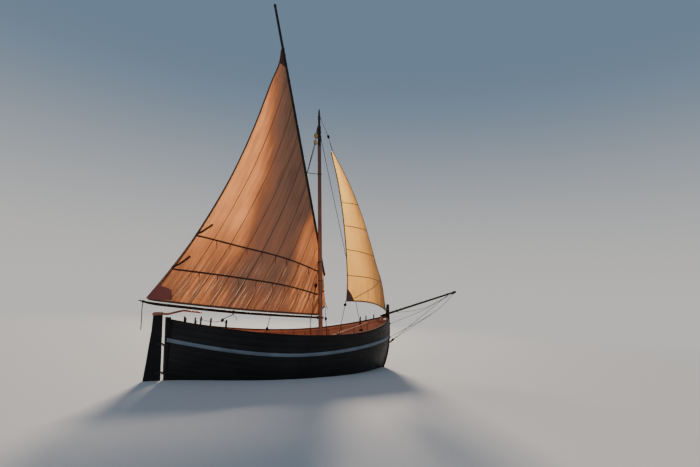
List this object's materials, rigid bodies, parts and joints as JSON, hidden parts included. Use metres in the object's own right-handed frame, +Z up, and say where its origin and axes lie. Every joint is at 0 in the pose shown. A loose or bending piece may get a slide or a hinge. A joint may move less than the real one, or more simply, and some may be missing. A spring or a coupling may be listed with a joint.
{
  "type": "lateen-rigged double-ended fishing boat",
  "caption": "Wooden double-ended sailing boat with a decked bow and stern, an open well, a hung rudder with tiller, and a raked mast with a lateen mainsail on a boom and a jib.",
  "frame": {"origin": "on the waterline, on the centreline, half way along the hull", "axes": "+X to the bow, +Y to port, +Z up and square to the waterline"},
  "size_m": [14.499, 2.9554, 14.2426],
  "materials": {
    "hull_black": "gloss black paint on planks",
    "strake_pale": "pale blue-grey satin paint",
    "inner_red": "red-brown paint and oil",
    "rail_dark": "dark oiled timber",
    "deck_wood": "worn oiled pine",
    "spar_red": "red-brown varnish",
    "spar_dark": "dark tarred timber",
    "light_wood": "light bare wood",
    "iron": "black-painted wrought iron",
    "rope": "tarred hemp",
    "sail_tan": "barked tan canvas",
    "jib_cream": "cream to tan canvas"
  },
  "bodies": {
    "hull": {"hull_shell": "hull_black", "keel": "hull_black", "stem": "rail_dark", "sternpost": "hull_black", "rubbing_strake_port": "strake_pale", "rubbing_strake_starboard": "strake_pale", "raised_side_port": "hull_black", "raised_side_starboard": "hull_black", "cap_rail_port": "rail_dark", "cap_rail_starboard": "rail_dark", "side_deck_port": "deck_wood", "side_deck_starboard": "deck_wood", "foredeck": "deck_wood", "aft_deck": "deck_wood", "coaming": "inner_red", "frames_and_keelson": "deck_wood", "floorboards": "deck_wood", "thwart_1": "deck_wood", "thwart_2": "deck_wood", "mast": "spar_red", "mast_step": "deck_wood", "mast_partner": "deck_wood", "stay_port_aft": "rope", "stay_port_fore": "rope", "bowsprit": "spar_dark", "breasthook": "rail_dark", "gammon_iron": "iron", "bobstay": "rope", "jib": "jib_cream", "jib_sheet": "rope", "jib_halyard": "rope", "jib_tack": "rope", "stowed_oar": "light_wood", "gudgeon_upper": "iron", "gudgeon_middle": "iron", "gudgeon_lower": "iron"},
    "rudder": {"rudder_iron_upper": "iron", "rudder_iron_middle": "iron", "rudder_iron_lower": "iron", "rudder_blade": "hull_black", "tiller": "spar_red"},
    "rig": {"yard": "spar_dark", "boom": "spar_dark", "mainsail": "sail_tan", "yard_strop": "rope", "boom_strop": "rope"}
  },
  "joints": [
    {"name": "rudder_hinge", "type": "hinge", "parent": "hull", "child": "rudder", "pos_m": [-4.465, 0, 0], "axis": [-0.0748, 0, 0.9972], "range_deg": [-40, 40]},
    {"name": "rig_swing", "type": "hinge", "parent": "hull", "child": "rig", "pos_m": [1.029, 0, 1.263], "axis": [-0.0825, 0, 0.9966], "range_deg": [-20, 55]}
  ]
}
